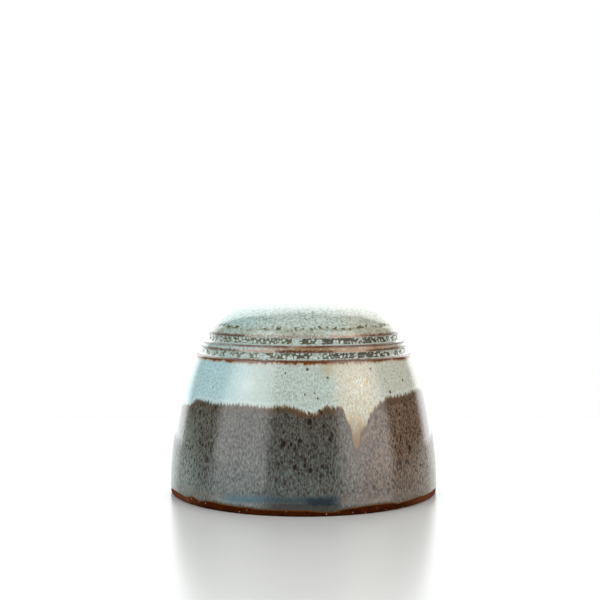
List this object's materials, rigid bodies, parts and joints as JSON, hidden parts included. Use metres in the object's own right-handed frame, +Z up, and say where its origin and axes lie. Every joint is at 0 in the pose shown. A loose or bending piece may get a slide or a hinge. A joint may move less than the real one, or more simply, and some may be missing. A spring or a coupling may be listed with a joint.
{
  "type": "yarn bowl",
  "caption": "Wide round glazed stoneware yarn bowl whose stepped, domed lid lifts off a ledge inside the rim and lets the yarn out through a hole in its crown.",
  "frame": {"origin": "centre of the foot ring, on the surface the bowl stands on", "axes": "+Z up along the bowl's axis of turning, -Y towards the camera of the picture"},
  "size_m": [0.15, 0.15, 0.1098],
  "materials": {
    "bowl_glaze": "glossy opaque stoneware glaze, pale blue above and dark grey-brown below, over bare red-brown clay at the foot",
    "lid_glaze": "glossy opaque stoneware glaze, grey-green with brown edges and specks"
  },
  "bodies": {
    "bowl": {"bowl": "bowl_glaze"},
    "lid": {"lid": "lid_glaze"}
  },
  "joints": [
    {"name": "lid_lift", "type": "slide", "parent": "bowl", "child": "lid", "axis": [0, 0, 1], "range_m": [0, 0.08]}
  ]
}
